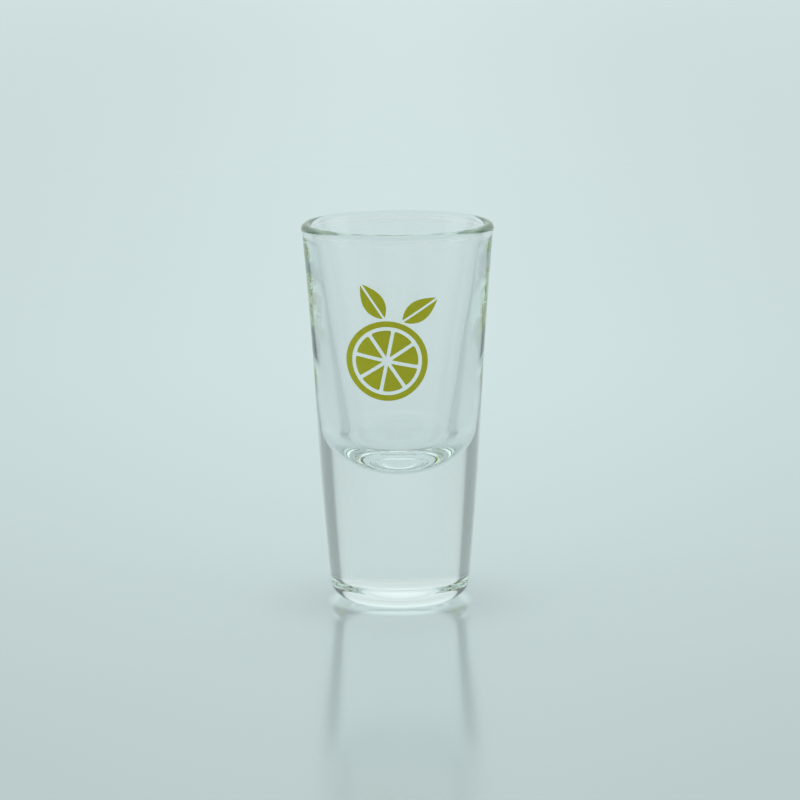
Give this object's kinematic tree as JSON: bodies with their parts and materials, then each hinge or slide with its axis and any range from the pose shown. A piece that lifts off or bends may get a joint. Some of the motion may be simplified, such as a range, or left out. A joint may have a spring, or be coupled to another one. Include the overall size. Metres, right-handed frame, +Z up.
{
  "type": "shot glass",
  "caption": "Tall tapered shot glass with a thick solid base, a rounded bowl, a rounded rim and a one-colour fruit-slice print on its wall.",
  "frame": {"origin": "middle of the flat ring that the glass stands on, at the level of the table", "axes": "+Z up along the glass's axis; the print faces -Y, and +X is to the right of a person who looks at the print"},
  "size_m": [0.05, 0.05, 0.0992],
  "materials": {
    "clear_glass": "clear soda-lime glass, fire-polished, with a slight green cast where it is thick",
    "mustard_enamel": "opaque mustard ceramic enamel, screen printed and fired on, satin"
  },
  "bodies": {
    "root": {"glass_body": "clear_glass", "print_rind": "mustard_enamel", "print_segment_1": "mustard_enamel", "print_segment_2": "mustard_enamel", "print_segment_3": "mustard_enamel", "print_segment_4": "mustard_enamel", "print_segment_5": "mustard_enamel", "print_segment_6": "mustard_enamel", "print_segment_7": "mustard_enamel", "print_segment_8": "mustard_enamel", "print_leaf_right_upper": "mustard_enamel", "print_leaf_right_lower": "mustard_enamel", "print_leaf_left_upper": "mustard_enamel", "print_leaf_left_lower": "mustard_enamel"}
  },
  "joints": []
}
